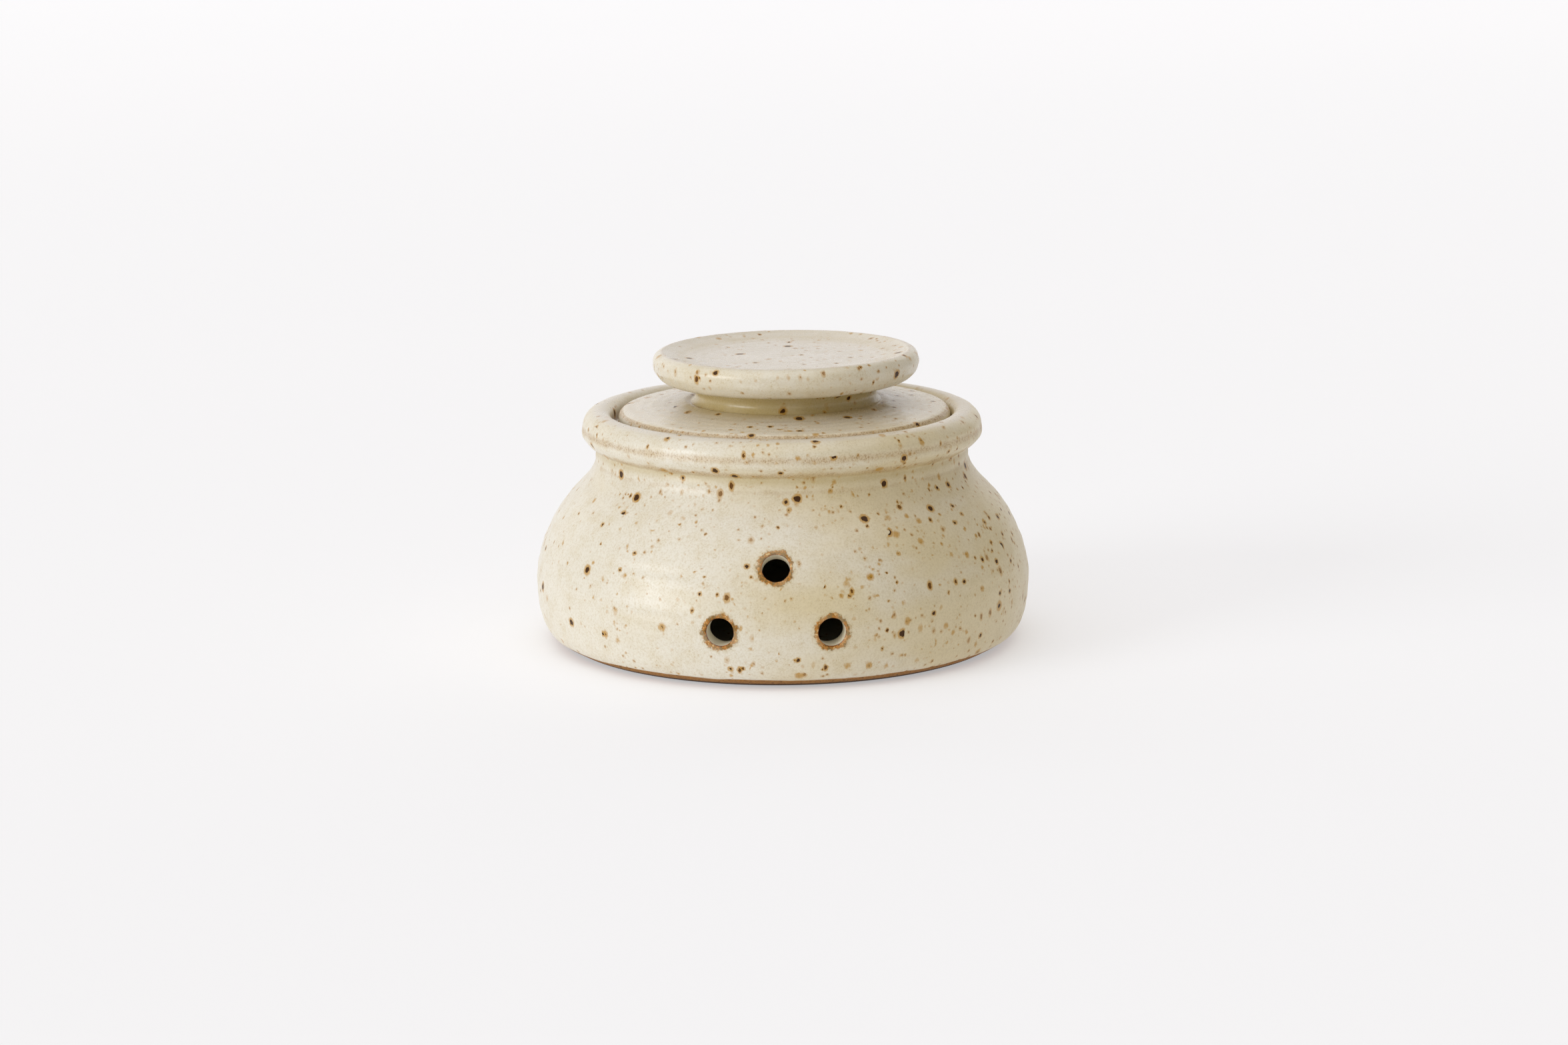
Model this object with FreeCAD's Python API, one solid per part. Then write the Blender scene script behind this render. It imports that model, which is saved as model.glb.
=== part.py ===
"""Lidded stoneware garlic keeper: a squat pot with vent holes, and a lid with a disc knob.

Millimetres, +Z up, origin at the centre of the foot's resting plane. The vent holes face -Y.
Every piece is wheel-thrown, so each is a half outline in the XZ plane turned about Z.
"""
import FreeCAD, Part
import math
import os

V = FreeCAD.Vector

# ---- driving dimensions -----------------------------------------------------------------
BELLY_R = 75.0          # widest radius of the pot
BELLY_Z = 17.0          # height of the widest place
FOOT_R = 65.9           # outer radius of the ring that the pot stands on
FOOT_RING_W = 8.0       # width of that ring
FOOT_RECESS = 1.5       # depth turned out of the underside inside the ring
WALL = 5.5              # thickness of the thrown wall
FLOOR_Z = 7.0           # top of the floor inside

NECK_R = 56.4           # outside radius of the neck
NECK_Z = 56.0           # height where the shoulder has become the neck
GROOVE_R = 56.1         # bottom of the groove under the rolled rim
GROOVE_Z = 59.2

RIM_R = 60.5            # widest radius of the rolled rim
RIM_Z = 64.9            # height of its widest place
RIM_CREST_R = 54.6      # radius of the rim's crest
RIM_CREST_Z = 70.4      # height of the rim's crest
GALLERY_R = 51.4        # inside wall of the gallery that holds the lid
SEAT_Z = 64.6           # height of the gallery's seat
MOUTH_R = 45.0          # radius of the mouth, inside the seat
SEAT_THICK = 3.6        # thickness of the seat's ledge at the mouth

LID_R = 50.1            # radius of the lid plate
LID_GAP = 0.05          # clearance under the lid where it rests on its seat
LID_EDGE_Z = 70.6       # top of the lid plate near its edge
LID_EDGE_ROUND = 2.3    # rounding of the plate's top edge
LID_TOP_Z = 72.4        # top of the plate where the knob is luted on
LID_HOLLOW_R = 42.0     # radius of the hollow in the plate's underside
LID_HOLLOW = 1.2        # depth of that hollow

KNOB_FLARE_R = 29.8     # radius of the flare where the knob meets the plate
THROAT_R = 27.2         # waist of the knob
THROAT_Z = 75.4         # height of the waist
KNOB_R = 40.1           # widest radius of the knob's disc
KNOB_Z = 84.0           # height of its widest place
KNOB_CREST_R = 37.2     # crest round the dish in the knob's top
KNOB_CREST_Z = 88.3     # height of that crest, the top of the whole pot
DISH_R = 29.0           # radius of the dish's flatter floor
DISH_DEPTH = 2.9        # depth of the dish below the crest

VENT_R = 4.1            # radius of a vent hole
VENT_TOP_Z = 36.1       # height of the single upper hole
VENT_TOP_R = 69.8       # radius of the pot's surface there
VENT_TOP_LEAN = 29.0    # degrees that the wall's outward normal points above level there
VENT_LOW_Z = 17.7       # height of the two lower holes
VENT_LOW_ANGLE = 12.5   # degrees that each lower hole stands to the side of -Y

PARTS = "parts"


# ---- outline helpers --------------------------------------------------------------------
def at(r, z):
    """Point of a half outline: radius r, height z."""
    return V(r, 0, z)


def lines(*points):
    """Straight edges through the points, in order."""
    pairs = zip(points, points[1:])
    return [Part.LineSegment(at(*a), at(*b)).toShape() for a, b in pairs]


def arc(start, through, end):
    """Circular arc through three points."""
    return [Part.Arc(at(*start), at(*through), at(*end)).toShape()]


def smooth(*points):
    """One smooth curve through the points."""
    curve = Part.BSplineCurve()
    curve.interpolate([at(*p) for p in points])
    return [curve.toShape()]


def turned(edges):
    """Solid of revolution of a closed half outline."""
    face = Part.Face(Part.Wire(edges))
    solid = face.revolve(V(0, 0, 0), V(0, 0, 1), 360)
    if solid.Volume < 0:
        solid.reverse()
    return solid


# ---- pot --------------------------------------------------------------------------------
SHOULDER = [(71.7, 32.0), (67.9, 39.5), (62.6, 46.0), (58.2, 51.0)]


def pot_outside():
    """From the foot's edge up the belly, neck and rolled rim to the rim's crest."""
    foot_edge = (FOOT_R, 0)
    foot_top = (FOOT_R + 2.0, 1.2)
    low = [foot_top, (71.6, 4.0), (73.9, 9.0)]
    belly = [(BELLY_R, BELLY_Z), (74.2, 25.0)]
    neck = (NECK_R, NECK_Z)
    groove = (GROOVE_R, GROOVE_Z)
    under_rim = (59.2, 61.2)
    rim_side = (RIM_R, RIM_Z)
    over_rim = (58.7, 68.9)
    crest = (RIM_CREST_R, RIM_CREST_Z)
    edges = lines(foot_edge, foot_top)
    edges += smooth(*low, *belly, *SHOULDER, neck)
    edges += lines(neck, groove)
    edges += arc(groove, under_rim, rim_side)
    edges += arc(rim_side, over_rim, crest)
    return edges


def pot_inside():
    """From the rim's crest down the gallery, seat and inner wall to the middle of the floor."""
    crest = (RIM_CREST_R, RIM_CREST_Z)
    gallery_top = (GALLERY_R, RIM_CREST_Z - 3.0)
    seat_out = (GALLERY_R, SEAT_Z)
    seat_in = (MOUTH_R + 0.8, SEAT_Z)
    mouth = (MOUTH_R, SEAT_Z - 0.8)
    mouth_low = (MOUTH_R, SEAT_Z - SEAT_THICK)
    under_seat = (NECK_R - WALL, NECK_Z - 0.5)
    shoulder = [(r - WALL * 0.88, z - WALL * 0.47) for r, z in reversed(SHOULDER)]
    belly = [(BELLY_R - WALL, BELLY_Z + 1.0), (64.0, FLOOR_Z + 2.6)]
    floor_edge = (56.0, FLOOR_Z)
    edges = arc(crest, (52.4, 69.6), gallery_top)
    edges += lines(gallery_top, seat_out, seat_in)
    edges += arc(seat_in, (MOUTH_R + 0.24, SEAT_Z - 0.24), mouth)
    edges += lines(mouth, mouth_low, under_seat)
    edges += smooth(under_seat, *shoulder, *belly, floor_edge)
    edges += lines(floor_edge, (0, FLOOR_Z))
    return edges


def pot_underside():
    """From the middle of the floor down the axis, and out across the turned foot."""
    recess_r = FOOT_R - FOOT_RING_W
    return lines((0, FLOOR_Z), (0, FOOT_RECESS), (recess_r - 1.5, FOOT_RECESS), (recess_r, 0), (FOOT_R, 0))


def vent(height, angle, surface_r, slope):
    """Cutter for one vent hole, square to the wall.

    slope is the wall's lean in degrees: how far its outward normal points above level.
    """
    lean = math.radians(slope)
    side = math.radians(angle)
    outward = V(math.sin(side) * math.cos(lean), -math.cos(side) * math.cos(lean), math.sin(lean))
    centre = V(math.sin(side) * surface_r, -math.cos(side) * surface_r, height)
    reach = 3 * WALL
    return Part.makeCylinder(VENT_R, 2 * reach, centre - outward * reach, outward)


def make_pot():
    pot = turned(pot_outside() + pot_inside() + pot_underside())
    vents = [vent(VENT_TOP_Z, 0, VENT_TOP_R, VENT_TOP_LEAN)]
    for angle in (-VENT_LOW_ANGLE, VENT_LOW_ANGLE):
        vents.append(vent(VENT_LOW_Z, angle, BELLY_R, 0.0))
    return pot.cut(Part.makeCompound(vents)).Solids[0]


# ---- lid --------------------------------------------------------------------------------
def make_lid_plate():
    """Disc that drops into the gallery, rising gently to the flat that carries the knob."""
    base = SEAT_Z + LID_GAP
    edge_low = LID_EDGE_Z - LID_EDGE_ROUND - 0.2
    corner = (LID_R - LID_EDGE_ROUND, LID_EDGE_Z)
    edge = (LID_R, edge_low)
    knob_flat = (KNOB_FLARE_R, LID_TOP_Z)
    hollow_top = base + LID_HOLLOW
    edges = lines((0, hollow_top), (LID_HOLLOW_R - 1.2, hollow_top), (LID_HOLLOW_R, base))
    edges += lines((LID_HOLLOW_R, base), (LID_R - 0.8, base), (LID_R, base + 0.8), edge)
    edges += arc(edge, (LID_R - 0.75, LID_EDGE_Z - 0.8), corner)
    edges += smooth(corner, (39.0, 71.35), knob_flat)
    edges += lines(knob_flat, (0, LID_TOP_Z), (0, hollow_top))
    return turned(edges)


def make_lid_knob():
    """Disc knob on a waisted throat, with a shallow dish in its top."""
    foot = (KNOB_FLARE_R, LID_TOP_Z)
    waist = (THROAT_R, THROAT_Z)
    under = (34.8, 78.7)
    side = (KNOB_R, KNOB_Z)
    crest = (KNOB_CREST_R, KNOB_CREST_Z)
    dish_z = KNOB_CREST_Z - DISH_DEPTH
    edges = lines((0, LID_TOP_Z), foot)
    edges += smooth(foot, (27.9, 73.4), waist, (28.6, 77.4), under)
    edges += smooth(under, (38.6, 80.6), side, (39.5, 86.8), crest)
    edges += smooth(crest, (34.6, 87.2), (DISH_R, dish_z + 0.6), (14.0, dish_z + 0.08), (0, dish_z))
    edges += lines((0, dish_z), (0, LID_TOP_Z))
    return turned(edges)


# ---- output -----------------------------------------------------------------------------
def main():
    pieces = {
        "pot_body": make_pot(),
        "lid_plate": make_lid_plate(),
        "lid_knob": make_lid_knob(),
    }
    os.makedirs(PARTS, exist_ok=True)
    for name, shape in pieces.items():
        shape.exportStep(os.path.join(PARTS, name + ".step"))
        box = shape.BoundBox
        print(name, "valid", shape.isValid(), "solids", len(shape.Solids), "cm3 %.1f" % (shape.Volume / 1000),
              "r %.2f" % box.XMax, "z %.2f to %.2f" % (box.ZMin, box.ZMax))


main()
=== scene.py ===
import math

import bpy
import numpy as np
from mathutils import Matrix, Vector


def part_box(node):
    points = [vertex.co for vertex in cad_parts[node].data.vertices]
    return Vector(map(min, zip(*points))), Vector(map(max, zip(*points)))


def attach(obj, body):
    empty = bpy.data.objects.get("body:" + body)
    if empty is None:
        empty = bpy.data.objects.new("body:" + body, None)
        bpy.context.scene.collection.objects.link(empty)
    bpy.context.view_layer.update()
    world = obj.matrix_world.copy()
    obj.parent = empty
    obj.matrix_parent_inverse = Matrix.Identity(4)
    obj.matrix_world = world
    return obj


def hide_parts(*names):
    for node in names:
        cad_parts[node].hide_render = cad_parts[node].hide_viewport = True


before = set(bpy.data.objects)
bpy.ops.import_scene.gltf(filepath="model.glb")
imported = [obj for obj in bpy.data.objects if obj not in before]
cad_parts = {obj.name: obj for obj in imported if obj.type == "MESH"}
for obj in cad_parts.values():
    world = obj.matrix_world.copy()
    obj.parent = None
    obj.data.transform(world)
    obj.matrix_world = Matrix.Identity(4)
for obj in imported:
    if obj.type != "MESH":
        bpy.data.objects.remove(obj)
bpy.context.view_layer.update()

# A speckled stoneware garlic keeper: pot, lid plate and disc knob, all turned about Z.
# Shapes are worked out in millimetres from the outlines of the CAD nodes, then put in the scene in metres.

MM = 0.001
COLUMNS = 720           # steps round the axis
FINE = 0.55             # step along an outline where it shows
COARSE = 2.2            # step where it doesn't
SOFTEN = 0.55           # how far the wet sponge rounds every corner
FAR = 60.0              # what the vent mask says away from any vent

VENT_R = 4.05           # radius of a vent, a coat of glaze narrower than the cutter
VENT_LIP = 0.55         # rounding of its outer edge
VENT_TOP = (0.0, 36.1, 29.0)        # degrees from the front, height, upward lean of the bore
VENT_LOW = ((-12.5, 17.7, 0.0), (12.5, 17.7, 0.0))
VENT_BLOCK = 7.4        # half width of the square of wall that is rebuilt round a vent
VENT_RINGS = 18         # rings of faces across that block
LIP_STEPS = 6           # steps round the outer lip, one fewer round the inner
BORE_STEPS = 13         # steps along the bore

GLAZE_LINE = 2.8        # height where the glaze ends above the foot
GLAZE_COAT = 0.22       # thickness of the glaze's edge there
CREASE_Z = 65.5         # faint crease round the rolled rim
BEAD_Z = 63.0           # soft bead below it
GROOVE_Z = 59.3         # groove under the rim
NECK_LINE_Z = 55.2      # faint line where the neck meets the shoulder
NECK_SWELL_Z = NECK_LINE_Z + 2.0
SEAT_R = (46.2, 51.2)   # unglazed ring of the gallery that the lid rests on
LID_BEARING_R = 42.6    # the lid's underside is unglazed outside this radius

LID_SHIFT = 0.8         # the lid lies loose, pushed to the right within its clearance
LID_TILT = 0.003        # hand-thrown: the plate's top rises a little to the right
LID_TILT_FROM = 66.5    # height where that rise starts
KNOB_SHIFT = 0.6        # and the knob was luted slightly off centre
KNOB_TILT = 0.007
KNOB_TILT_FROM = 72.6
KNOB_SINK = 0.9         # how far the luted knob reaches into the plate
FILLET_R = 30.0         # fillet of slip and pooled glaze round the knob's foot
LID_EDGE_BREAK_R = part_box("lid_plate")[1].x / MM - 1.0      # where the glaze is worn off the plate's edge

# Colours are sRGB, 0 to 255.
MILK = (228, 222, 206)
# painted light: upward-facing glaze as the top light shows it, greyer and more neutral
TOP_LIT_GREY = (219, 210, 197)
STRAW = (219, 204, 166)
SAND = (207, 190, 150)
SAND_DARK = (194, 176, 136)
OLIVE = (192, 170, 104)
TAN = (196, 166, 118)
RUST = (144, 102, 50)
OCHRE = (180, 152, 78)
AMBER = (186, 138, 44)
TAWNY = (152, 104, 26)
BROWN = (74, 42, 9)
BROWN_PALE = (112, 69, 17)
IRON = (34, 16, 5)
IRON_RED = (72, 38, 10)
RING_DARK = (92, 42, 8)
RING_TAN = (184, 102, 22)
# painted glints on the crumbly vent ring
RING_GLINT = (240, 212, 160)
# pale glaze of the bore, painted near white as painted light reaching into the bore
BORE_GLAZE_AND_LIGHT = (250, 241, 214)
CLAY = (136, 90, 36)
CLAY_PALE = (168, 118, 54)
# dark grit of the bare clay, also the painted contact shadow under the foot
CLAY_DARK_AND_SHADOW = (34, 20, 11)

# Roughness of each surface.
SATIN = 0.22
IRON_ROUGH = 0.36
RING_ROUGH = 0.45
CLAY_ROUGH = 0.85

SHADED_SIDE_STRAW = 0.0034     # per mm: painted shade, the glaze is painted milkier on the lit -X side and straw on the shaded +X side
SPECK_SIDE = 0.0014     # per mm: and a little more specked on +X


# ---- seeded noise -----------------------------------------------------------------------
class Grain:
    """Smooth random values, from -1 to 1, that depend on the place only."""

    def __init__(self, seed, size=48):
        self.size = size
        self.values = np.random.default_rng(seed).uniform(-1, 1, (size, size, size))

    def __call__(self, places, wavelength):
        p = places / np.asarray(wavelength, float) + 1000.0
        cell = np.floor(p).astype(int)
        f = p - cell
        f = f * f * (3 - 2 * f)
        total = np.zeros(len(places))
        for corner in np.ndindex(2, 2, 2):
            share = np.prod(np.where(corner, f, 1 - f), axis=1)
            i, j, k = ((cell + corner) % self.size).T
            total += share * self.values[i, j, k]
        return total


grain_a = Grain(3)
grain_b = Grain(17)
grain_c = Grain(41)


def rise(lo, hi, x):
    """0 below lo, 1 above hi, smooth between."""
    t = np.clip((x - lo) / (hi - lo), 0, 1)
    return t * t * (3 - 2 * t)


def hump(centre, width, x):
    return np.exp(-((x - centre) / width) ** 2)


# ---- outlines from the CAD --------------------------------------------------------------
def outline(node):
    """Half outline of a turned CAD node, from the axis below, round the outside, to the axis above."""
    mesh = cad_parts[node].data
    mesh.calc_loop_triangles()
    places = np.array([v.co for v in mesh.vertices]) / MM
    corners = places[np.array([t.vertices for t in mesh.loop_triangles])]
    turn = 0.35
    along = corners[..., 0] * math.cos(turn) + corners[..., 1] * math.sin(turn)
    across = corners[..., 1] * math.cos(turn) - corners[..., 0] * math.sin(turn)
    pieces = []
    for tri in np.nonzero((across.min(1) < 0) & (across.max(1) > 0))[0]:
        ends = []
        for a, b in ((0, 1), (1, 2), (2, 0)):
            da, db = across[tri, a], across[tri, b]
            if (da < 0) != (db < 0):
                t = da / (da - db)
                ends.append((along[tri, a] + t * (along[tri, b] - along[tri, a]),
                             corners[tri, a, 2] + t * (corners[tri, b, 2] - corners[tri, a, 2])))
        p, q = ends
        if p[0] <= 0 and q[0] <= 0:
            continue
        if p[0] * q[0] < 0:
            t = p[0] / (p[0] - q[0])
            cut = (0.0, p[1] + t * (q[1] - p[1]))
            p, q = (cut, q) if p[0] < 0 else (p, cut)
        pieces.append((p, q))
    left = np.array(pieces)
    ends = left.reshape(-1, 2)
    here = min((e for e in ends if e[0] < 1e-6), key=lambda e: e[1])
    chain = [here]
    while len(left):
        gaps = np.hypot(*(left - here).transpose(2, 0, 1))
        i, k = np.unravel_index(gaps.argmin(), gaps.shape)
        here = left[i, 1 - k]
        left = np.delete(left, i, 0)
        if math.hypot(*(here - chain[-1])) > 1e-4:
            chain.append(here)
        if here[0] < 1e-6 and len(chain) > 10:
            break
    return np.array(chain)


class Turned:
    """A softened half outline that can be asked for its place and normal anywhere."""

    def __init__(self, points, coarse_where, soften=SOFTEN):
        length = np.concatenate([[0], np.cumsum(np.hypot(*np.diff(points, axis=0).T))])
        step = 0.1
        s = np.arange(0, length[-1], step)
        r = np.interp(s, length, points[:, 0])
        z = np.interp(s, length, points[:, 1])
        reach = int(5 * soften / step)
        weights = np.exp(-0.5 * (np.arange(-reach, reach + 1) * step / soften) ** 2)
        weights /= weights.sum()
        r = np.concatenate([-r[reach:0:-1], r, -r[-2:-reach - 2:-1]])
        z = np.concatenate([z[reach:0:-1], z, z[-2:-reach - 2:-1]])
        self.s, self.r, self.z = s, np.convolve(r, weights, "valid"), np.convolve(z, weights, "valid")
        self.r[[0, -1]] = 0
        dr, dz = np.gradient(self.r, step), np.gradient(self.z, step)
        size = np.hypot(dr, dz)
        self.nr, self.nz = dz / size, -dr / size
        lean = np.unwrap(np.arctan2(dz, dr))
        bend = np.gradient(lean, step)
        self.bend = np.convolve(bend, np.ones(9) / 9, "same")
        steps = np.where(coarse_where(self.r, self.z), COARSE, FINE)
        count = np.concatenate([[0], np.cumsum(step / steps[1:])])
        rows = int(round(count[-1]))
        self.rows = np.interp(np.linspace(0, count[-1], rows + 1), count, s)

    def place(self, phi, s):
        """Places, normals and what the outline says there, for angles phi and arc lengths s."""
        r, z = np.interp(s, self.s, self.r), np.interp(s, self.s, self.z)
        nr, nz = np.interp(s, self.s, self.nr), np.interp(s, self.s, self.nz)
        size = np.hypot(nr, nz)
        c, n = np.cos(phi), np.sin(phi)
        spots = np.stack([r * c, r * n, z], 1)
        normals = np.stack([nr / size * c, nr / size * n, nz / size], 1)
        return spots, normals, {"r": r, "z": z, "nr": nr / size, "nz": nz / size, "phi": phi,
                                "bend": np.interp(s, self.s, self.bend)}


# ---- relief: what hand and glaze add to the turned shape ---------------------------------
def throwing(spots, where):
    """Rings left by fingers: long round the pot, short up it, with a slow spiral."""
    rings = 0.11 * grain_a(spots, (55, 55, 5.2)) + 0.05 * grain_b(spots, (40, 40, 2.2))
    return rings + 0.035 * turning_marks(4.1, where["z"], where["phi"])


def glaze_skin(spots):
    """Orange-peel unevenness of a satin glaze."""
    return 0.055 * grain_b(spots, 7.0) + 0.028 * grain_c(spots, 2.4) + 0.012 * grain_a(spots, 0.9)


def glaze_edge(spots):
    """Height of the glaze's wavering lower edge."""
    return GLAZE_LINE + 0.22 * grain_b(spots, 9.0) + 0.08 * grain_a(spots, 2.0)


def turning_marks(pitch, along, phi):
    """A fine spiral left by the tool, one turn per pitch."""
    return np.sin(2 * math.pi * along / pitch + phi)


def pot_relief(spots, where):
    r, z = where["r"], where["z"]
    outside = rise(0.0, 0.4, where["nr"]) * rise(54.0, 56.0, r)
    lift = throwing(spots, where) * (0.4 + 0.6 * outside) * rise(2.0, 8.0, z)
    lift += 0.32 * grain_c(spots, (70, 70, 26)) * outside * rise(4.0, 14.0, z) * rise(58.0, 48.0, z)
    lift += glaze_skin(spots) * rise(0.6, 2.4, z)
    lift += outside * (0.24 * hump(BEAD_Z, 1.1, z) - 0.15 * hump(CREASE_Z, 1.2, z)
                       - 0.06 * hump(GROOVE_Z, 1.0, z) - 0.10 * hump(NECK_LINE_Z, 1.1, z)
                       + 0.12 * hump(NECK_SWELL_Z, 1.1, z))
    lift += GLAZE_COAT * (rise(-0.15, 0.35, z - glaze_edge(spots)) - 1.0) * (r > 60) * (where["nr"] > -0.2)
    lift -= 0.24 * rise(72.5, 74.6, r)
    return lift


def lid_relief(spots, where):
    r, z = where["r"], where["z"]
    up = rise(0.2, 0.8, where["nz"])
    lift = glaze_skin(spots) * (0.5 + 0.5 * up)
    lift += up * 0.10 * grain_a(spots, 26.0) + up * 0.04 * turning_marks(3.4, r, where["phi"])
    lift += up * 0.55 * hump(FILLET_R, 2.3, r)
    worn = hump(LID_EDGE_BREAK_R, 1.0, r) * rise(68.0, 69.5, z)
    lift += worn * (0.14 * grain_c(spots, 0.7) + 0.02)
    return lift


def knob_relief(spots, where):
    r, z = where["r"], where["z"]
    lift = glaze_skin(spots) + 0.05 * turning_marks(3.1, z, where["phi"]) * rise(0.3, 0.9, where["nr"])
    lift += 0.07 * grain_a(spots, (40, 40, 2.6)) * rise(0.1, 0.8, where["nr"])
    dish = rise(0.8, 0.98, where["nz"]) * rise(34.0, 30.0, r)
    lift += dish * (0.07 * grain_b(spots, 18.0) + 0.035 * turning_marks(3.0, r, where["phi"]))
    lift -= 0.25 * rise(86.6, 88.2, z)
    return lift


# ---- masks that the glaze shader reads --------------------------------------------------
def pot_masks(spots, where):
    z, r, bend = where["z"], where["r"], where["bend"]
    outside = rise(-0.2, 0.3, where["nr"])
    thin = rise(0.25, 0.60, bend) * (r < 47) * (z > 55)
    thin = np.maximum(thin, 0.72 * hump(CREASE_Z - 0.5, 1.6, z) * outside * (r > 57))
    thin = np.maximum(thin, 0.76 * hump(GROOVE_Z + 0.8, 1.6, z) * outside * (r > 54))
    thin = np.maximum(thin, 0.50 * hump(NECK_LINE_Z - 0.2, 1.3, z) * outside * (r > 54))
    pool = 0.65 * hump(GROOVE_Z - 0.6, 1.7, z) * outside * (r > 54)
    bare = rise(0.1, -0.1, z - glaze_edge(spots))
    seat = (where["nz"] > 0.9) * (r > SEAT_R[0]) * (r < SEAT_R[1]) * (z > 60)
    return {"thin": thin, "pool": pool, "bare": np.maximum(bare, seat), "flat": rise(0.86, 0.98, where["nz"]),
            "vent": np.full(len(z), FAR)}


def lid_masks(spots, where):
    z, r = where["z"], where["r"]
    thin = 1.05 * hump(LID_EDGE_BREAK_R + 0.2, 0.65, r) * rise(67.6, 69.0, z)
    pool = 0.75 * hump(FILLET_R + 0.6, 2.4, r) * (z > 70)
    bare = ((where["nz"] < -0.5) & (r > LID_BEARING_R)) | ((r > 49.0) & (z < 66.2))
    return {"thin": thin, "pool": pool, "bare": bare * 1.0, "flat": rise(0.86, 0.98, where["nz"]) * 0.6,
            "vent": np.full(len(z), FAR)}


def knob_masks(spots, where):
    z, r, bend = where["z"], where["r"], where["bend"]
    thin = 0.55 * rise(0.22, 0.50, bend) * rise(86.0, 87.5, z)
    pool = rise(36.0, 30.0, r) * rise(82.0, 78.0, z)
    pool = np.maximum(pool, 0.35 * hump(31.5, 2.5, r) * rise(84.0, 86.0, z))
    return {"thin": thin, "pool": pool, "bare": np.zeros(len(z)), "flat": rise(0.86, 0.98, where["nz"]),
            "vent": np.full(len(z), FAR)}


# ---- meshes -----------------------------------------------------------------------------
class Skin:
    """Collects vertices, faces and masks of one piece."""

    def __init__(self):
        self.spots, self.faces, self.masks, self.count = [], [], {}, 0

    def add(self, spots, masks):
        first = self.count
        self.spots.append(spots)
        self.count += len(spots)
        for name, values in masks.items():
            self.masks.setdefault(name, []).append(values)
        return np.arange(first, self.count)

    def strip(self, a, b):
        """Quads between two closed rings of equal length."""
        self.faces.append(np.stack([a, np.roll(a, -1), np.roll(b, -1), b], 1))

    def piece(self, name, shift=0.0, tilt=0.0, pivot=0.0):
        """The object. shift moves it along X and tilt leans it by that slope, from the height pivot up."""
        spots = np.concatenate(self.spots)
        above = rise(pivot, pivot + 2.0, spots[:, 2])
        spots[:, 2] += tilt * spots[:, 0] * above
        spots[:, 0] += shift
        masks = {k: np.concatenate(v) for k, v in self.masks.items()}
        faces = self.faces
        used = np.unique(np.concatenate([f.ravel() for f in faces]))
        new = np.full(len(spots), -1)
        new[used] = np.arange(len(used))
        loops = np.concatenate([new[f].ravel() for f in faces])
        sizes = np.concatenate([np.full(len(f), f.shape[1]) for f in faces])
        mesh = bpy.data.meshes.new(name)
        mesh.vertices.add(len(used))
        mesh.vertices.foreach_set("co", (spots[used] * MM).astype(np.float32).ravel())
        mesh.loops.add(len(loops))
        mesh.loops.foreach_set("vertex_index", loops.astype(np.int32))
        mesh.polygons.add(len(sizes))
        starts = np.concatenate([[0], np.cumsum(sizes)[:-1]])
        mesh.polygons.foreach_set("loop_start", starts.astype(np.int32))
        mesh.update(calc_edges=True)
        mesh.validate()
        mesh.shade_smooth()
        for key, values in masks.items():
            layer = mesh.attributes.new(key, "FLOAT", "POINT")
            layer.data.foreach_set("value", values[used].astype(np.float32))
        obj = bpy.data.objects.new(name, mesh)
        bpy.context.scene.collection.objects.link(obj)
        return obj


def turn(shape, relief, masks, skin, blocks=()):
    """Turns an outline into the skin, leaving out the blocks (row range, column range)."""
    phi = 2 * math.pi * np.arange(COLUMNS) / COLUMNS
    rows = shape.rows[1:-1]
    grid_phi = np.tile(phi, len(rows))
    grid_s = np.repeat(rows, COLUMNS)
    spots, normals, where = shape.place(grid_phi, grid_s)
    lifted = spots + normals * relief(spots, where)[:, None]
    ids = skin.add(lifted, masks(spots, where)).reshape(-1, COLUMNS)
    quads = np.stack([ids[:-1], np.roll(ids[:-1], -1, 1), np.roll(ids[1:], -1, 1), ids[1:]], 2)
    keep = np.ones(quads.shape[:2], bool)
    for (i0, i1), (j0, j1) in blocks:
        keep[i0:i1, j0:j1] = False
    skin.faces.append(quads[keep])
    for row, s, flip in ((ids[0], shape.rows[0], True), (ids[-1], shape.rows[-1], False)):
        spot, normal, there = shape.place(np.zeros(1), np.array([s]))
        tip = skin.add(spot + normal * relief(spot, there)[:, None], masks(spot, there))
        tips = np.full(COLUMNS, tip[0])
        other = np.roll(row, -1)
        skin.faces.append(np.stack([tips, other, row] if flip else [row, other, tips], 1))
    return ids


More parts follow.
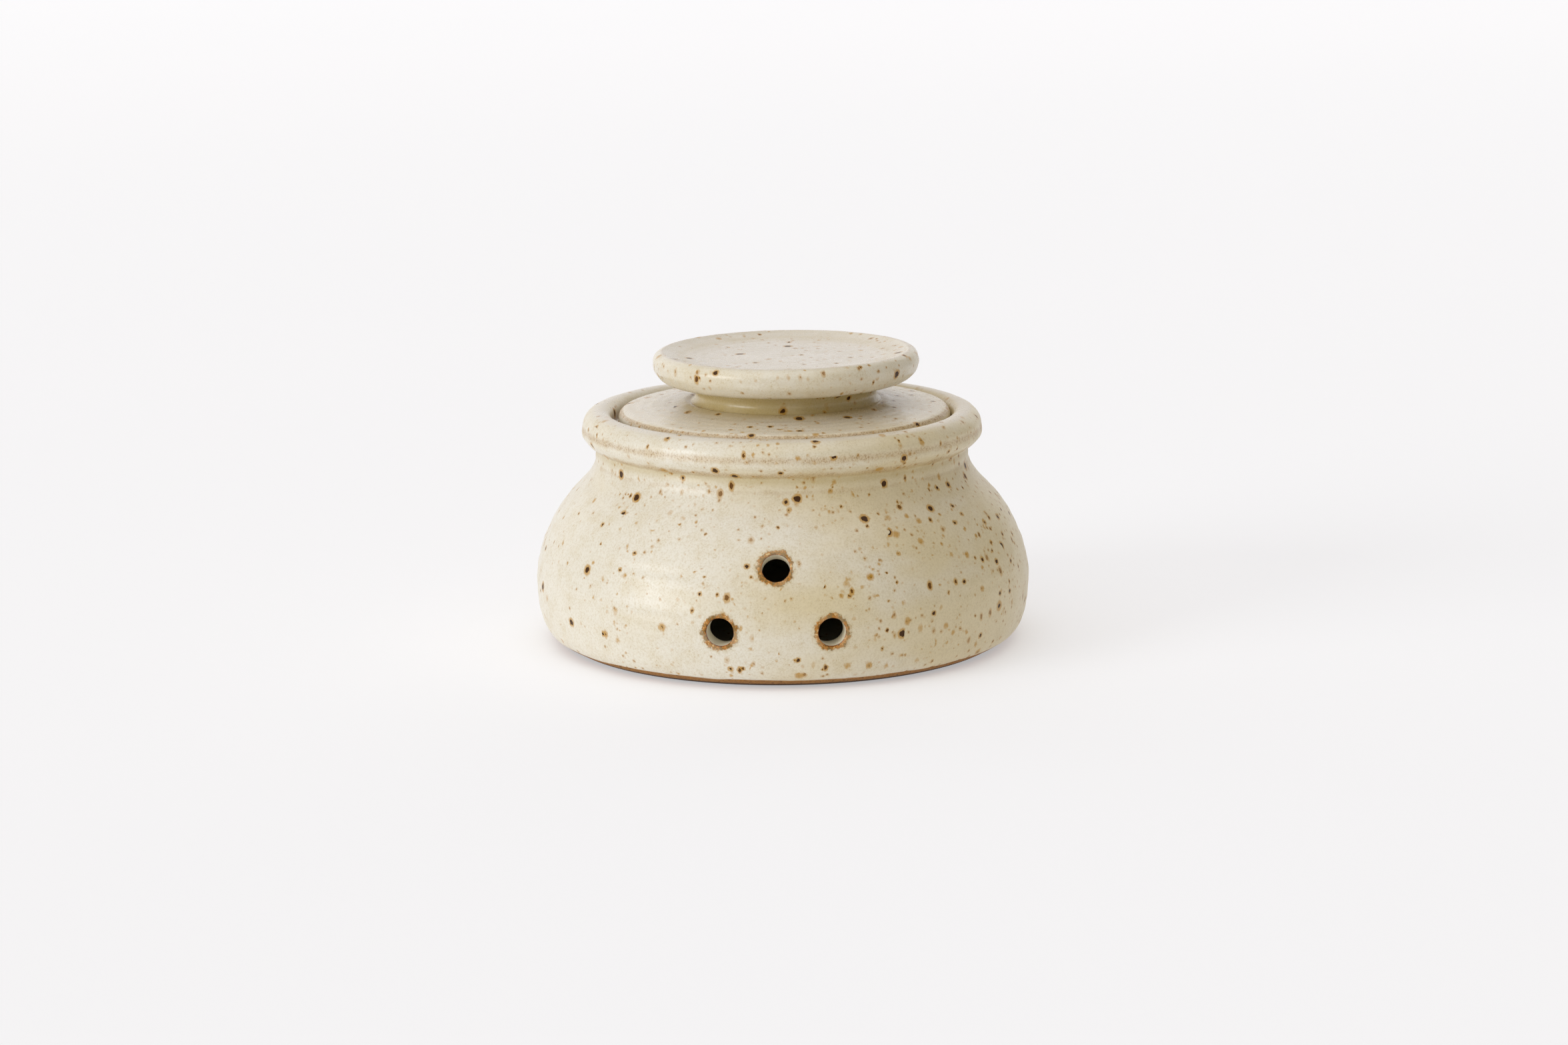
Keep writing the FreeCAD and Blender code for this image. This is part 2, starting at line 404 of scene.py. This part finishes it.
def vent(shape, relief, masks, skin, ids, outer, inner, bore):
    """Fills two blocks of wall, outer and inner, with rings that run into a bore between them."""
    azimuth, _, lean = bore
    side = math.radians(azimuth - 90)
    tilt = math.radians(lean)
    axis = np.array([math.cos(side) * math.cos(tilt), math.sin(side) * math.cos(tilt), math.sin(tilt)])
    level = np.array([-math.sin(side), math.cos(side), 0.0])
    upward = np.cross(axis, level)
    rings = []
    centre = None
    for (i0, i1), (j0, j1), s0, sign in (outer, inner):
        up, down = (i1, i0) if sign > 0 else (i0, i1)
        step = 1 if sign > 0 else -1
        loop = [(down, j) for j in range(j0, j1)]
        loop += [(i, j1) for i in range(down, up, step)]
        loop += [(up, j) for j in range(j1, j0, -1)]
        loop += [(i, j0) for i in range(up, down, -step)]
        loop = np.array(loop)
        phi = 2 * math.pi * loop[:, 1] / COLUMNS
        s = shape.rows[1:-1][loop[:, 0]]
        r0 = float(np.interp(s0, shape.s, shape.r))
        phi0 = side % (2 * math.pi)
        u, v = (phi - phi0) * r0, (s - s0) * sign
        angle = np.arctan2(v, u)
        edge = VENT_R + VENT_LIP
        found = [ids[loop[:, 0], loop[:, 1]]]
        bases = []
        for t in np.linspace(1, 0, VENT_RINGS + 1)[1:]:
            t = t ** 1.25
            pu = edge * np.cos(angle) * (1 - t) + u * t
            pv = edge * np.sin(angle) * (1 - t) + v * t
            spots, normals, where = shape.place(phi0 + pu / r0, s0 + sign * pv)
            rho = np.hypot(pu, pv) - VENT_R
            lift = relief(spots, where)
            if sign > 0:
                crumbs = rise(1.9, 0.5, rho + 0.5 * grain_b(spots, 1.5))
                lift = lift + crumbs * (0.16 * grain_a(spots, 0.55) + 0.10 * grain_c(spots, 1.1) + 0.05)
            marks = masks(spots, where)
            marks["vent"] = rho if sign > 0 else np.full(len(rho), FAR)
            marks["thin"] = marks["thin"] * rise(0.0, 2.0, rho)
            bases.append(spots + normals * lift[:, None])
            found.append(skin.add(bases[-1], marks))
        rings.append((found, bases[-1]))
        if centre is None:
            centre = shape.place(np.array([phi0]), np.array([s0]))[0][0]
    (outside, lip_out), (inside, lip_in) = rings
    for a, b in zip(outside, outside[1:]):
        skin.strip(a, b)
    last = outside[-1]
    out_flat = np.stack([(lip_out - centre) @ level, (lip_out - centre) @ upward], 1)
    in_flat = np.stack([(lip_in - centre) @ level, (lip_in - centre) @ upward], 1)
    out_h, in_h = (lip_out - centre) @ axis, (lip_in - centre) @ axis
    out_rho, in_rho = np.hypot(*out_flat.T), np.hypot(*in_flat.T)
    out_dir, in_dir = out_flat / out_rho[:, None], in_flat / in_rho[:, None]
    path = [("out", a) for a in np.linspace(0, math.pi / 2, LIP_STEPS + 1)[1:]]
    path += [("bore", t) for t in np.linspace(0, 1, BORE_STEPS + 1)[1:-1]]
    path += [("in", a) for a in np.linspace(math.pi / 2, 0, LIP_STEPS)[:-1]]
    for kind, t in path:
        if kind == "out":
            rho = out_rho - (out_rho - VENT_R) * math.sin(t)
            h = out_h - VENT_LIP * (1 - math.cos(t))
            way = out_dir
        elif kind == "in":
            rho = in_rho - (in_rho - VENT_R) * math.sin(t)
            h = in_h + VENT_LIP * (1 - math.cos(t))
            way = in_dir
        else:
            rho = np.full(len(out_rho), VENT_R)
            h = (out_h - VENT_LIP) * (1 - t) + (in_h + VENT_LIP) * t
            way = out_dir * (1 - t) + in_dir * t
            way = way / np.hypot(*way.T)[:, None]
        spots = centre + level * (way[:, :1] * rho[:, None]) + upward * (way[:, 1:] * rho[:, None])
        spots = spots + axis * h[:, None]
        rough = 0.05 * grain_b(spots, 2.6)
        if kind == "out":
            rough = rough + 0.09 * math.cos(t) * grain_a(spots, 0.55)
        away = spots - centre
        away = away - axis * (away @ axis)[:, None]
        away /= np.linalg.norm(away, axis=1)[:, None]
        depth = out_h - h
        marks = {name: np.zeros(len(h)) for name in ("thin", "pool", "bare", "flat")}
        marks["vent"] = (rho - VENT_R) - 2.0 * np.maximum(depth - VENT_LIP, 0)
        ring = skin.add(spots + away * rough[:, None], marks)
        skin.strip(last, ring)
        last = ring
    for ring in reversed(inside):
        skin.strip(last, ring)
        last = ring


def make_pot():
    shape = Turned(outline("pot_body"), lambda r, z: (r < 60) & (z < 20) & (r < 64 - z * 0.1))
    s_rows = shape.rows[1:-1]
    r_rows, z_rows = np.interp(s_rows, shape.s, shape.r), np.interp(s_rows, shape.s, shape.z)
    nr_rows = np.interp(s_rows, shape.s, shape.nr)
    jobs, blocks = [], []
    for bore in (VENT_TOP, *VENT_LOW):
        azimuth, height, lean = bore
        outer_side = (nr_rows > 0) & (z_rows > 5) & (z_rows < 55)
        i_out = np.nonzero(outer_side)[0][np.abs(z_rows[outer_side] - height).argmin()]
        tilt = math.radians(lean)
        s_out = s_rows[i_out]
        r_out, z_out = r_rows[i_out], z_rows[i_out]
        inner_side = np.nonzero((nr_rows < 0) & (z_rows > 7.2) & (z_rows < 58))[0]
        out_by, up_by = r_rows[inner_side] - r_out, z_rows[inner_side] - z_out
        off = np.abs(out_by * math.sin(tilt) - up_by * math.cos(tilt))
        i_in = inner_side[off.argmin()]
        half = int(round(VENT_BLOCK / FINE))
        column = (azimuth - 90) % 360 / 360 * COLUMNS
        width = int(round(VENT_BLOCK / (2 * math.pi * r_out / COLUMNS)))
        columns = (int(round(column)) - width, int(round(column)) + width)
        out_rows, in_rows = (i_out - half, i_out + half), (i_in - half, i_in + half)
        blocks += [(out_rows, columns), (in_rows, columns)]
        jobs.append(((out_rows, columns, s_out, 1), (in_rows, columns, s_rows[i_in], -1), bore))
    skin = Skin()
    ids = turn(shape, pot_relief, pot_masks, skin, blocks)
    for outer, inner, bore in jobs:
        vent(shape, pot_relief, pot_masks, skin, ids, outer, inner, bore)
    return skin.piece("pot")


def make_lid():
    points = outline("lid_plate")
    shape = Turned(points, lambda r, z: (r < 25) | ((r < 40) & (z < 68)), soften=0.35)
    skin = Skin()
    turn(shape, lid_relief, lid_masks, skin)
    return skin.piece("lid_plate_glazed", LID_SHIFT, LID_TILT, LID_TILT_FROM)


def make_knob():
    points = outline("lid_knob")
    base = points[:, 1].min()
    points[points[:, 1] < base + 1e-3, 1] -= KNOB_SINK
    shape = Turned(points, lambda r, z: (z < base) & (r < 28), soften=0.45)
    skin = Skin()
    turn(shape, knob_relief, knob_masks, skin)
    return skin.piece("knob_glazed", LID_SHIFT + KNOB_SHIFT, KNOB_TILT, KNOB_TILT_FROM)


pot = make_pot()
lid = make_lid()
knob = make_knob()

for piece, node, body in ((pot, "pot_body", "pot"), (lid, "lid_plate", "lid"), (knob, "lid_knob", "lid")):
    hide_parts(node)
    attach(piece, body)


# ---- node helpers -----------------------------------------------------------------------
def colour(r, g, b):
    """Linear colour of an sRGB one given as 0 to 255."""
    lin = [v / 255 / 12.92 if v / 255 <= 0.04045 else ((v / 255 + 0.055) / 1.055) ** 2.4 for v in (r, g, b)]
    return (*lin, 1.0)


class Nodes:
    """Short names for building a node material."""

    def __init__(self, name):
        self.material = bpy.data.materials.new(name)
        self.material.use_nodes = True
        self.tree = self.material.node_tree
        self.tree.nodes.clear()

    def new(self, kind, **settings):
        node = self.tree.nodes.new(kind)
        for key, value in settings.items():
            setattr(node, key, value)
        return node

    def put(self, value, socket):
        if isinstance(value, bpy.types.NodeSocket):
            self.tree.links.new(value, socket)
        elif value is not None:
            socket.default_value = value

    def math(self, operation, a, b=None, c=None):
        node = self.new("ShaderNodeMath", operation=operation)
        for value, socket in zip((a, b, c), node.inputs):
            self.put(value, socket)
        return node.outputs[0]

    def vector(self, operation, a, b=None):
        node = self.new("ShaderNodeVectorMath", operation=operation)
        self.put(a, node.inputs[0])
        if operation == "SCALE":
            self.put(b, node.inputs["Scale"])
        else:
            self.put(b, node.inputs[1])
        return node.outputs[0]

    def ease(self, value, lo, hi, low=0.0, high=1.0):
        node = self.new("ShaderNodeMapRange", interpolation_type="SMOOTHSTEP")
        for v, socket in zip((value, lo, hi, low, high), node.inputs):
            self.put(v, socket)
        return node.outputs[0]

    def mix(self, share, a, b):
        node = self.new("ShaderNodeMix", data_type="RGBA")
        self.put(share, node.inputs[0])
        self.put(a, node.inputs[6])
        self.put(b, node.inputs[7])
        return node.outputs[2]

    def blend(self, share, a, b):
        node = self.new("ShaderNodeMix", data_type="FLOAT")
        self.put(share, node.inputs[0])
        self.put(a, node.inputs[2])
        self.put(b, node.inputs[3])
        return node.outputs[0]

    def noise(self, place, scale, detail=2.0, roughness=0.5, output="Fac"):
        node = self.new("ShaderNodeTexNoise", noise_dimensions="3D")
        self.put(place, node.inputs["Vector"])
        node.inputs["Scale"].default_value = scale
        node.inputs["Detail"].default_value = detail
        node.inputs["Roughness"].default_value = roughness
        return node.outputs[output]

    def cells(self, place, scale):
        node = self.new("ShaderNodeTexVoronoi", voronoi_dimensions="3D", feature="F1")
        self.put(place, node.inputs["Vector"])
        node.inputs["Scale"].default_value = scale
        apart = self.new("ShaderNodeSeparateColor")
        self.put(node.outputs["Color"], apart.inputs[0])
        return node.outputs["Distance"], apart.outputs

    def mask(self, name):
        return self.new("ShaderNodeAttribute", attribute_name=name).outputs["Fac"]


def specks(n, place, cell, share, small, large, crowd):
    """Round specks of one family. Returns (core, halo, random value): masks from 0 to 1.

    cell is the spacing in mm, share how many cells hold one, small and large their radii in mm.
    """
    distance, chance = n.cells(place, 1.0 / cell)
    distance = n.math("MULTIPLY", distance, cell)
    wanted = n.math("MULTIPLY", crowd, share)
    present = n.math("LESS_THAN", chance[0], wanted)
    size = n.math("POWER", chance[1], 1.7)
    radius = n.math("MULTIPLY", n.math("MULTIPLY_ADD", size, large - small, small), present)
    inner = n.math("MULTIPLY", radius, 0.80)
    core = n.math("MULTIPLY", n.ease(distance, inner, radius, 1.0, 0.0), present)
    wide = n.math("MULTIPLY_ADD", radius, 1.50, 0.34)
    halo = n.math("MULTIPLY", n.ease(distance, n.math("MULTIPLY", radius, 1.1), wide, 1.0, 0.0), present)
    return core, halo, chance[2]


def glaze_material():
    n = Nodes("speckled_glaze")
    local = n.new("ShaderNodeTexCoord").outputs["Object"]
    mm = n.vector("SCALE", local, 1000.0)

    # a place whose small distortions make the specks ragged
    wobble = n.vector("SUBTRACT", n.noise(mm, 1.15, 2.0, 0.6, "Color"), (0.5, 0.5, 0.5))
    ragged = n.vector("ADD", mm, n.vector("SCALE", wobble, 0.90))
    runny = n.vector("MULTIPLY", ragged, (1.0, 1.0, 0.62))

    # body of the glaze: milky where thick, straw where thinner, with a fine crystalline mottle; painted shade
    # makes it straw towards +X
    banded = n.vector("MULTIPLY", mm, (0.40, 0.40, 1.0))
    broad = n.noise(banded, 0.060, 3.0, 0.55)
    medium = n.noise(mm, 0.16, 4.0, 0.6)
    fine = n.noise(mm, 1.5, 3.0, 0.65)
    apart = n.new("ShaderNodeSeparateXYZ")
    n.put(mm, apart.inputs[0])
    x, z = apart.outputs[0], apart.outputs[2]
    # painted light and shade: the straw share grows towards +X, the side turned away from the key light, and
    # less on the lid and knob
    lean = n.ease(z, 66.0, 76.0, SHADED_SIDE_STRAW, SHADED_SIDE_STRAW * 0.3)
    thicker_below = n.ease(z, 3.0, 22.0, -0.07, 0.0)
    settled = n.math("ADD", n.math("MULTIPLY_ADD", broad, 0.75, 0.125), thicker_below)
    straw = n.math("MULTIPLY_ADD", x, lean, settled)
    straw = n.blend(n.ease(z, 72.0, 80.0, 0.0, 0.6), straw, 0.43)
    body = n.mix(n.ease(straw, 0.34, 0.72), colour(*MILK), colour(*STRAW))
    body = n.mix(n.math("MULTIPLY", n.ease(medium, 0.42, 0.78), 0.34), body, colour(*SAND))
    body = n.mix(n.math("MULTIPLY", n.ease(fine, 0.40, 0.75), 0.42), body, colour(*SAND_DARK))
    # painted light: upward-facing surfaces are painted greyer and more neutral, as the top light shows them
    body = n.mix(n.math("MULTIPLY", n.mask("flat"), 0.55), body, colour(*TOP_LIT_GREY))

    pool = n.mask("pool")
    body = n.mix(n.math("MULTIPLY", n.math("MULTIPLY_ADD", medium, 0.5, 0.45), pool), body, colour(*OLIVE))

    # thin glaze on edges breaks to tan and brown in grains
    thin = n.mask("thin")
    grit = n.noise(mm, 1.9, 3.0, 0.7)
    patchy = n.math("MULTIPLY_ADD", medium, 0.45, -0.22)
    broken = n.ease(n.math("MULTIPLY_ADD", thin, 0.62, patchy), 0.18, 0.62)
    body = n.mix(n.math("MULTIPLY", broken, 0.55), body, colour(*TAN))
    grains = n.math("MULTIPLY", n.ease(grit, 0.47, 0.62), broken)
    body = n.mix(n.math("MULTIPLY", grains, 0.75), body, colour(*RUST))

    # iron specks bleeding through, from faint tan dots to large dark ones
    crowding = n.math("MULTIPLY_ADD", x, SPECK_SIDE, n.noise(mm, 0.06, 2.0, 0.5))
    crowd = n.ease(crowding, 0.38, 0.62, 0.28, 1.28)
    crowd = n.math("MULTIPLY", crowd, n.math("MULTIPLY_ADD", n.mask("flat"), -0.35, 1.0))
    pepper = n.ease(n.noise(mm, 2.6, 2.0, 0.7), 0.56, 0.68)
    peppered = n.math("MULTIPLY", n.math("MULTIPLY", pepper, 0.42), n.ease(medium, 0.35, 0.6))
    body = n.mix(peppered, body, colour(*OCHRE))
    uneven_iron = n.noise(mm, 2.2, 2.0, 0.6)
    iron = n.mix(uneven_iron, colour(*IRON), colour(*IRON_RED))
    brown = n.mix(uneven_iron, colour(*BROWN), colour(*BROWN_PALE))
    dark = None
    # place, offset, cell, share, small, large, chance at which tawny starts to darken, chance at which
    # it is fully dark, dark colour
    families = ((ragged, (0.0, 0.0, 0.0), 2.2, 0.62, 0.12, 0.42, 1.2, 2.0, brown),
                (ragged, (13.0, 57.0, 29.0), 2.6, 0.36, 0.16, 0.48, 0.20, 0.70, brown),
                (runny, (31.0, 17.0, 5.0), 3.4, 0.44, 0.26, 0.74, 0.20, 0.60, brown),
                (ragged, (71.0, 3.0, 45.0), 4.8, 0.39, 0.50, 1.22, -0.2, 0.0, iron))
    for place, offset, cell, share, small, large, tawny, black, tint in families:
        core, halo, tone = specks(n, n.vector("ADD", place, offset), cell, share, small, large, crowd)
        deep = n.ease(tone, tawny, black)
        tinged = n.math("MULTIPLY", halo, n.math("MULTIPLY_ADD", deep, 0.44, 0.38))
        body = n.mix(tinged, body, colour(*AMBER))
        inked = n.math("MULTIPLY", core, n.math("MULTIPLY_ADD", deep, 0.26, 0.70))
        body = n.mix(inked, body, n.mix(deep, colour(*TAWNY), tint))
        core = n.math("MULTIPLY", core, deep)
        dark = core if dark is None else n.math("MAXIMUM", dark, core)

    # the vents: crawled, crumbly brown ring on the outer edge with painted glints, clean pale glaze in the
    # bore painted brighter with painted light
    vent = n.mask("vent")
    uneven = n.math("MULTIPLY_ADD", n.noise(mm, 0.50, 3.0, 0.7), 3.8, -1.9)
    reach = n.math("ADD", vent, uneven)
    ring = n.math("MULTIPLY", n.ease(reach, 1.0, 1.7, 1.0, 0.0), n.ease(vent, -0.3, 0.05))
    ring = n.math("MULTIPLY", ring, n.ease(n.noise(mm, 0.20, 2.0, 0.5), 0.42, 0.58, 0.80, 1.0))
    crumb = n.noise(mm, 0.80, 3.0, 0.75)
    ring_colour = n.mix(n.ease(crumb, 0.45, 0.53), colour(*RING_DARK), colour(*RING_TAN))
    # painted glints: the palest crumbs of the ring are painted as highlights
    ring_colour = n.mix(n.ease(crumb, 0.585, 0.64), ring_colour, colour(*RING_GLINT))
    body = n.mix(n.math("MULTIPLY", ring, 0.97), body, ring_colour)
    stain = n.math("MULTIPLY", n.ease(reach, 1.2, 2.6, 1.0, 0.0), n.ease(vent, 0.0, 0.3))
    body = n.mix(n.math("MULTIPLY", stain, 0.35), body, colour(*OCHRE))
    inside = n.ease(vent, -0.1, -0.9)
    # painted light: the bore's pale glaze is painted near white to stand in for light reaching inside
    body = n.mix(n.math("MULTIPLY", inside, 0.9), body, colour(*BORE_GLAZE_AND_LIGHT))

    # bare clay, with a painted contact shadow along the bottom of the foot
    bare = n.mask("bare")
    clay = n.mix(n.ease(n.noise(mm, 1.3, 4.0, 0.7), 0.35, 0.65), colour(*CLAY), colour(*CLAY_PALE))
    clay = n.mix(n.ease(n.noise(mm, 0.9, 2.0, 0.5), 0.62, 0.70, 0.0, 0.8), clay, colour(*CLAY_DARK_AND_SHADOW))
    # painted contact shadow: the bare clay darkens to near black in its lowest 1.5 mm, where the foot meets
    # the floor
    clay = n.mix(n.ease(z, 0.7, 1.5, 0.95, 0.0), clay, colour(*CLAY_DARK_AND_SHADOW))
    body = n.mix(bare, body, clay)

    rough = n.math("MULTIPLY_ADD", medium, 0.16, SATIN)
    rough = n.math("MULTIPLY_ADD", fine, 0.10, rough)
    rough = n.math("ADD", rough, n.ease(z, 66.0, 72.0, 0.0, -0.075))
    rough = n.blend(n.math("MULTIPLY", dark, 0.8), rough, IRON_ROUGH)
    rough = n.blend(ring, rough, RING_ROUGH)
    rough = n.blend(bare, rough, CLAY_ROUGH)

    # fine relief, in mm
    height = n.math("MULTIPLY", n.noise(mm, 0.8, 4.0, 0.6), 0.022)
    height = n.math("MULTIPLY_ADD", n.noise(mm, 3.5, 2.0, 0.6), 0.006, height)
    height = n.math("MULTIPLY_ADD", dark, -0.03, height)
    height = n.math("MULTIPLY_ADD", grains, -0.02, height)
    height = n.math("MULTIPLY_ADD", n.math("MULTIPLY", ring, crumb), 0.22, height)
    height = n.math("MULTIPLY_ADD", n.math("MULTIPLY", bare, n.noise(mm, 2.2, 3.0, 0.7)), 0.10, height)
    bump = n.new("ShaderNodeBump")
    bump.inputs["Strength"].default_value = 1.0
    bump.inputs["Distance"].default_value = 0.001
    n.put(height, bump.inputs["Height"])

    surface = n.new("ShaderNodeBsdfPrincipled")
    n.put(body, surface.inputs["Base Color"])
    n.put(rough, surface.inputs["Roughness"])
    n.put(bump.outputs[0], surface.inputs["Normal"])
    surface.inputs["IOR"].default_value = 1.5
    dulled = n.math("MAXIMUM", dark, ring)
    n.put(n.math("MULTIPLY_ADD", dulled, -0.34, 0.5), surface.inputs["Specular IOR Level"])
    out = n.new("ShaderNodeOutputMaterial")
    n.put(surface.outputs[0], out.inputs["Surface"])
    return n.material


# ---- materials --------------------------------------------------------------------------
glaze = glaze_material()
for piece in (pot, lid, knob):
    piece.data.materials.clear()
    piece.data.materials.append(glaze)
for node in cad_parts.values():
    node.data.materials.clear()
    node.data.materials.append(glaze)


# ---- stage, light and camera ------------------------------------------------------------
FLOOR_HALF = 9.0
FLOOR_ALBEDO = (0.60, 0.60, 0.60)
FLOOR_GLOW = 0.410
BACKDROP_Y = 5.5
BACKDROP_HEIGHT = 5.5
BACKDROP_RIGHT = 4.0
BACKDROP_ALBEDO = (0.1, 0.1, 0.1)
BACKDROP_GLOW = 0.90
PAPER_TINT = (1.0, 0.988, 1.0, 1)
SKY_TINT = (1.0, 0.97, 0.93, 1)
SKY_STRENGTH = 0.235


def sheet_of_paper(name, corners, albedo, glow):
    """A plain pale stage surface that also glows, as a lit sweep does."""
    mesh = bpy.data.meshes.new(name)
    mesh.from_pydata(corners, [], [(0, 1, 2, 3)])
    obj = bpy.data.objects.new(name, mesh)
    bpy.context.scene.collection.objects.link(obj)
    plain = Nodes(name)
    paper = plain.new("ShaderNodeBsdfPrincipled")
    paper.inputs["Base Color"].default_value = (*albedo, 1)
    paper.inputs["Roughness"].default_value = 1.0
    paper.inputs["Specular IOR Level"].default_value = 0.0
    paper.inputs["Emission Color"].default_value = PAPER_TINT
    paper.inputs["Emission Strength"].default_value = glow
    out = plain.new("ShaderNodeOutputMaterial")
    plain.put(paper.outputs[0], out.inputs["Surface"])
    mesh.materials.append(plain.material)


floor_corners = [(x * FLOOR_HALF, y * FLOOR_HALF, 0) for x, y in ((-1, -1), (1, -1), (1, 1), (-1, 1))]
backdrop_corners = [(-FLOOR_HALF, BACKDROP_Y, 0), (BACKDROP_RIGHT, BACKDROP_Y, 0),
                    (BACKDROP_RIGHT, BACKDROP_Y, BACKDROP_HEIGHT), (-FLOOR_HALF, BACKDROP_Y, BACKDROP_HEIGHT)]
sheet_of_paper("floor", floor_corners, FLOOR_ALBEDO, FLOOR_GLOW)
sheet_of_paper("backdrop", backdrop_corners, BACKDROP_ALBEDO, BACKDROP_GLOW)

world = bpy.data.worlds.new("studio")
bpy.context.scene.world = world
world.use_nodes = True
sky = world.node_tree.nodes["Background"]
sky.inputs["Color"].default_value = SKY_TINT
sky.inputs["Strength"].default_value = SKY_STRENGTH


def distant_light(name, azimuth, elevation, spread, strength, tint):
    """A large soft light far away. azimuth is in degrees from the front towards -X."""
    data = bpy.data.lights.new(name, "SUN")
    data.angle = math.radians(spread)
    data.energy = strength
    data.color = tint
    lamp = bpy.data.objects.new(name, data)
    bpy.context.scene.collection.objects.link(lamp)
    a, e = math.radians(azimuth), math.radians(elevation)
    came_from = Vector((-math.sin(a) * math.cos(e), -math.cos(a) * math.cos(e), math.sin(e)))
    lamp.location = came_from * 2.0
    lamp.rotation_euler = (-came_from).to_track_quat("-Z", "Y").to_euler()


distant_light("key", azimuth=58.0, elevation=11.5, spread=32.0, strength=1.43, tint=(0.985, 1.0, 1.02))
distant_light("top", azimuth=24.0, elevation=75.0, spread=88.0, strength=1.42, tint=(1.0, 0.985, 1.0))

CAMERA_UP = math.radians(11.85)     # how far the camera looks down
CAMERA_SIDE = math.radians(1.7)     # how far it stands to the right of the front
CAMERA_ROLL = math.radians(-0.5)
CAMERA_AWAY = 1.100
CAMERA_SENSOR = 36.0                # mm
CAMERA_LENS = 83.0
AIM = Vector((0.0004, 0.0, 0.0345))

level = math.cos(CAMERA_UP)
toward = Vector((-math.sin(CAMERA_SIDE) * level, math.cos(CAMERA_SIDE) * level, -math.sin(CAMERA_UP)))
camera_data = bpy.data.cameras.new("camera")
camera_data.sensor_width = CAMERA_SENSOR
camera_data.lens = CAMERA_LENS
camera_data.clip_start = 0.05
camera_data.clip_end = 60.0
camera = bpy.data.objects.new("camera", camera_data)
bpy.context.scene.collection.objects.link(camera)
aimed = toward.to_track_quat("-Z", "Y").to_matrix().to_4x4()
rolled = Matrix.Rotation(CAMERA_ROLL, 4, "Z")
camera.matrix_world = Matrix.Translation(AIM - toward * CAMERA_AWAY) @ aimed @ rolled
bpy.context.scene.camera = camera
bpy.context.scene.view_settings.view_transform = "Standard"
